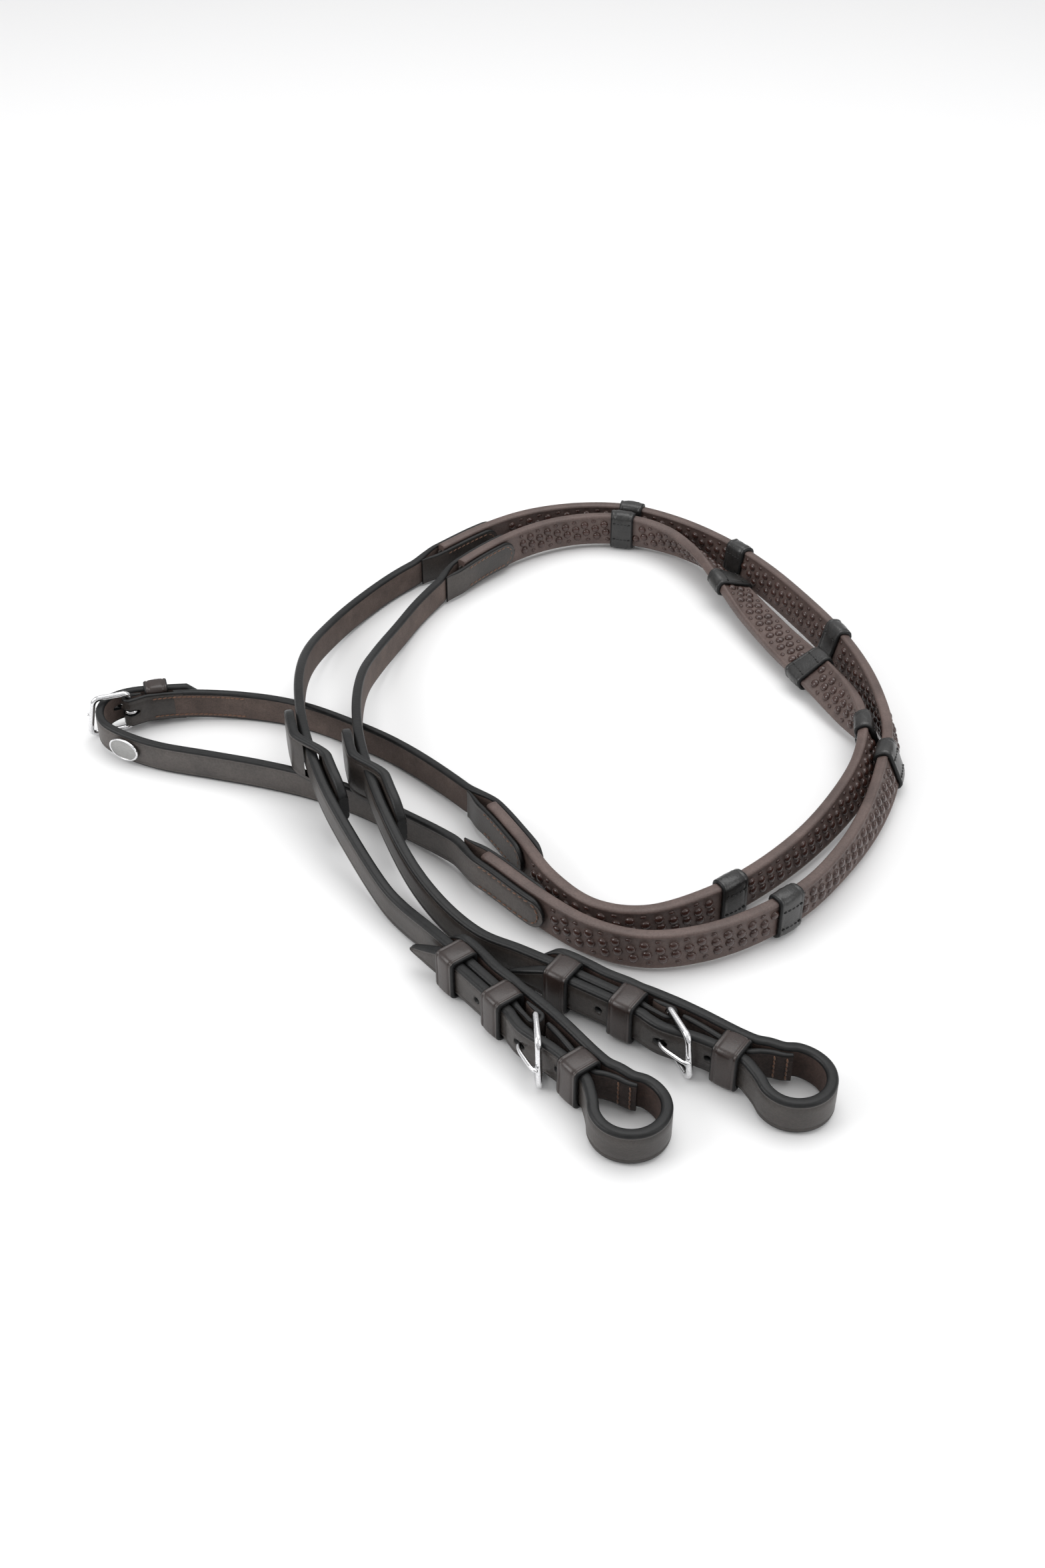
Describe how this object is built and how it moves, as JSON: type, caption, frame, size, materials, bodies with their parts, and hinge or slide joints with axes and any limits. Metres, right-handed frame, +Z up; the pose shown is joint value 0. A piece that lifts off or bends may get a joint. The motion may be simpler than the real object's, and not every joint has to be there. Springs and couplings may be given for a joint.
{
  "type": "leather reins",
  "caption": "Buckled pair of leather reins with pimpled rubber grips, hand stops, rein stops and buckled bit loops, laid in one loose turn.",
  "frame": {"origin": "middle of the box in plan, on the surface that the reins lie on", "axes": "+Z up from the surface; +Y away from the buckled bit ends towards the far side of the turn; +X from the hand buckle towards the turn of the grips"},
  "size_m": [0.4144, 0.4956, 0.0415],
  "materials": {
    "leather": "smooth black-brown bridle leather, waxed, with creased borders",
    "stop_leather": "thin black leather, stitched",
    "keeper_leather": "dark brown leather, pressed and creased, slightly glossy",
    "grip_rubber": "brown-grey moulded rubber with pimples",
    "webbing": "woven webbing",
    "buckle_steel": "polished stainless steel",
    "badge_metal": "plain satin oval plate"
  },
  "bodies": {
    "reins": {"inner_hand_strap": "leather", "outer_hand_strap": "leather", "inner_hand_splice_tab": "leather", "outer_hand_splice_tab": "leather", "inner_rubber_grip": "grip_rubber", "outer_rubber_grip": "grip_rubber", "inner_grip_core": "webbing", "outer_grip_core": "webbing", "inner_hand_stop_1": "stop_leather", "inner_hand_stop_2": "stop_leather", "inner_hand_stop_3": "stop_leather", "inner_hand_stop_4": "stop_leather", "inner_hand_stop_5": "stop_leather", "outer_hand_stop_1": "stop_leather", "outer_hand_stop_2": "stop_leather", "outer_hand_stop_3": "stop_leather", "outer_hand_stop_4": "stop_leather", "outer_hand_stop_5": "stop_leather", "inner_bit_splice_tab": "leather", "outer_bit_splice_tab": "leather", "inner_bit_strap": "leather", "outer_bit_strap": "leather", "inner_billet": "leather", "outer_billet": "leather", "inner_safe": "leather", "outer_safe": "leather", "inner_keeper_1": "keeper_leather", "inner_keeper_2": "keeper_leather", "outer_keeper_1": "keeper_leather", "outer_keeper_2": "keeper_leather", "hand_keeper": "keeper_leather", "inner_buckle_frame": "buckle_steel", "outer_buckle_frame": "buckle_steel", "hand_buckle_frame": "buckle_steel", "badge_plate": "badge_metal", "badge_washer": "badge_metal"},
    "inner_tongue": {"inner_buckle_tongue": "buckle_steel"},
    "outer_tongue": {"outer_buckle_tongue": "buckle_steel"},
    "hand_tongue": {"hand_buckle_tongue": "buckle_steel"},
    "inner_slip_stop": {"inner_rein_stop": "leather"},
    "outer_slip_stop": {"outer_rein_stop": "leather"},
    "inner_loose_keeper": {"inner_keeper_3": "keeper_leather"},
    "outer_loose_keeper": {"outer_keeper_3": "keeper_leather"}
  },
  "joints": [
    {"name": "inner_tongue_pivot", "type": "hinge", "parent": "reins", "child": "inner_tongue", "pos_m": [0.07566, -0.18309, 0.01186], "axis": [0, 0, 1], "range_deg": [-8, 0]},
    {"name": "outer_tongue_pivot", "type": "hinge", "parent": "reins", "child": "outer_tongue", "pos_m": [0.02121, -0.1857, 0.01186], "axis": [0, 0, 1], "range_deg": [-8, 0]},
    {"name": "hand_tongue_pivot", "type": "hinge", "parent": "reins", "child": "hand_tongue", "pos_m": [-0.1849, 0.04217, 0.01186], "axis": [0, 0, 1], "range_deg": [-8, 0]},
    {"name": "inner_slip_stop_slide", "type": "slide", "parent": "reins", "child": "inner_slip_stop", "axis": [0.282, -0.9594, 0], "range_m": [-0.0015, 0.002]},
    {"name": "outer_slip_stop_slide", "type": "slide", "parent": "reins", "child": "outer_slip_stop", "axis": [0.302, -0.9533, 0], "range_m": [-0.002, 0.002]},
    {"name": "inner_keeper_slide", "type": "slide", "parent": "reins", "child": "inner_loose_keeper", "axis": [0.8241, -0.5664, 0], "range_m": [-0.003, 0.0005]},
    {"name": "outer_keeper_slide", "type": "slide", "parent": "reins", "child": "outer_loose_keeper", "axis": [0.6157, -0.788, 0], "range_m": [-0.003, 0.0005]}
  ]
}
